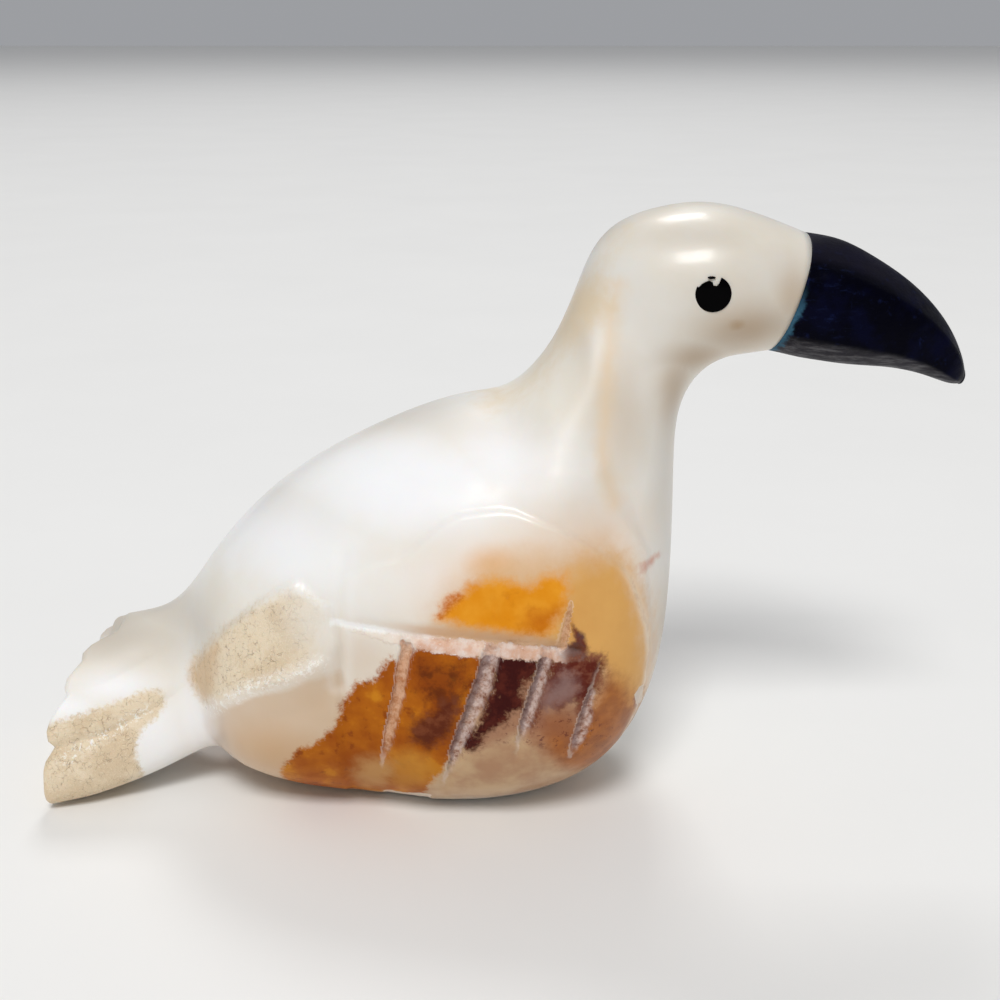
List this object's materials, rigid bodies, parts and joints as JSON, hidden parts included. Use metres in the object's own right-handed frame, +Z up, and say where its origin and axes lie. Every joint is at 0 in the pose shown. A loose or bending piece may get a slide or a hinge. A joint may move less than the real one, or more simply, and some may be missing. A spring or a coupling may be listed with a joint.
{
  "type": "stone toucan figurine",
  "caption": "Small carved banded-stone toucan sitting on its belly, with a long dark stone beak, inlaid black eyes, saw-cut wings and a fluted tail.",
  "frame": {"origin": "middle of the figure's length and width, on the ground that its flat base rests on", "axes": "+X from the tail to the beak, +Y to the bird's left, +Z up"},
  "size_m": [0.0998, 0.0352, 0.0648],
  "materials": {
    "pale_onyx": "polished translucent banded stone, white and cream with amber and red-brown veins low on the wings",
    "navy_stone": "satin dark navy stone with faint blue mottling",
    "black_inlay": "glossy black inlay"
  },
  "bodies": {
    "root": {"body": "pale_onyx", "beak": "navy_stone", "eye_right": "black_inlay", "eye_left": "black_inlay"}
  },
  "joints": []
}
